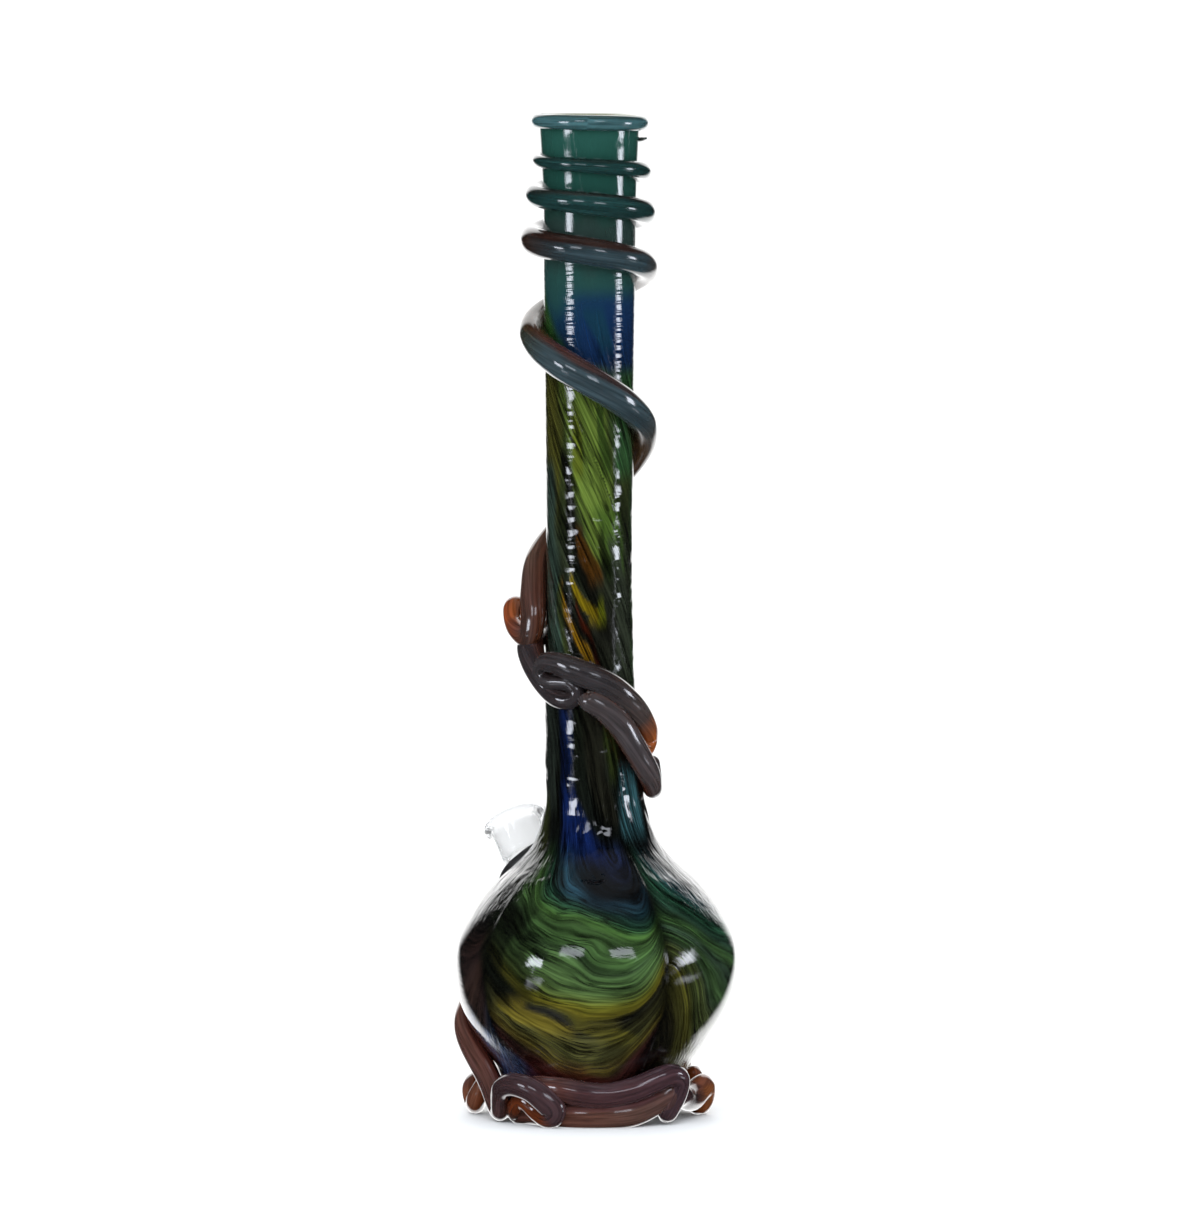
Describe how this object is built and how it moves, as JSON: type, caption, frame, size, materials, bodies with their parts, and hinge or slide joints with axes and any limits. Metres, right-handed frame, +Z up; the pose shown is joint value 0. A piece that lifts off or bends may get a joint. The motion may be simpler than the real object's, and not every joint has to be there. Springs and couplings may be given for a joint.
{
  "type": "water pipe",
  "caption": "Hand-blown glass water pipe with a tall neck, round bulb, wound and folded glass trails, and a clear removable downstem in a rubber grommet.",
  "frame": {"origin": "on the bulb's axis, in the plane that the glass feet stand on", "axes": "+Z up along the neck, -Y towards the front, +X to the right as seen from the front; the downstem's socket is at the back left"},
  "size_m": [0.1161, 0.1144, 0.4048],
  "materials": {
    "body_glass": "opaque streaked art glass in teal, blue, green, amber and near-black under a clear casing, glossy and rippled",
    "lip_glass": "opaque teal-grey glass, glossy",
    "trail_glass": "grey-blue to red-brown glass with fine lengthwise streaks, glossy",
    "foot_glass": "red-brown and mauve-grey glass with fine lengthwise streaks, orange where thin, glossy",
    "grommet_rubber": "smooth black rubber",
    "joint_glass": "clear glass with a fine-ground frosted taper inside",
    "clear_glass": "clear polished glass"
  },
  "bodies": {
    "vessel": {"vessel": "body_glass", "lip_wrap": "lip_glass", "neck_trail": "trail_glass", "foot_wrap": "foot_glass", "grommet": "grommet_rubber"},
    "downstem": {"joint_socket": "joint_glass", "stem_tube": "clear_glass"}
  },
  "joints": [
    {"name": "downstem_pull", "type": "slide", "parent": "vessel", "child": "downstem", "axis": [-0.3594, 0.4293, 0.8286], "range_m": [0, 0.125]}
  ]
}
